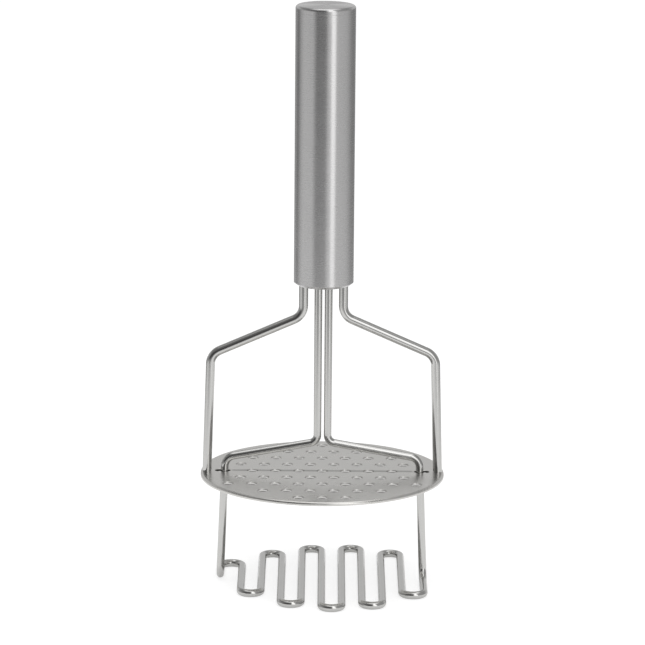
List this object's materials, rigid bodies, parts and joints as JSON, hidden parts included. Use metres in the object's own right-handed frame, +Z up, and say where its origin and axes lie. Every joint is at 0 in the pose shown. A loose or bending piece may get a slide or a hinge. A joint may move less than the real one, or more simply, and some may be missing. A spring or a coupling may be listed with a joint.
{
  "type": "two-in-one potato masher and ricer",
  "caption": "Spring-loaded potato masher: a tube handle presses a perforated plate down over a zigzag masher wire.",
  "frame": {"origin": "middle of the masher wire on the standing surface, under the handle's axis", "axes": "+Z up along the handle, X across the two legs, -Y towards the picture's camera"},
  "size_m": [0.115, 0.115, 0.2765],
  "materials": {
    "satin_steel": "satin stainless steel with fine lines round the handle",
    "polished_rod": "polished stainless steel rod",
    "plate_steel": "bright rolled stainless steel sheet, pierced and drawn",
    "turned_steel": "turned steel",
    "spring_steel": "drawn stainless spring wire",
    "nylon": "natural nylon",
    "rubber": "moulded black rubber"
  },
  "bodies": {
    "masher": {"masher_wire": "polished_rod", "crosshead": "turned_steel", "crosshead_pin": "turned_steel"},
    "handle": {"handle_tube": "satin_steel", "top_cap": "satin_steel", "bottom_plug": "satin_steel", "rod_guide": "nylon", "frame_rod_left": "polished_rod", "frame_rod_right": "polished_rod", "ricer_plate": "plate_steel", "bump_washer": "rubber", "return_spring": "spring_steel", "spring_seat": "turned_steel"}
  },
  "joints": [
    {"name": "handle_press", "type": "slide", "parent": "masher", "child": "handle", "axis": [0, 0, -1], "range_m": [0, 0.044], "stiffness_N_per_m": 470, "springref_m": -0.035, "deforming": ["return_spring"]}
  ]
}
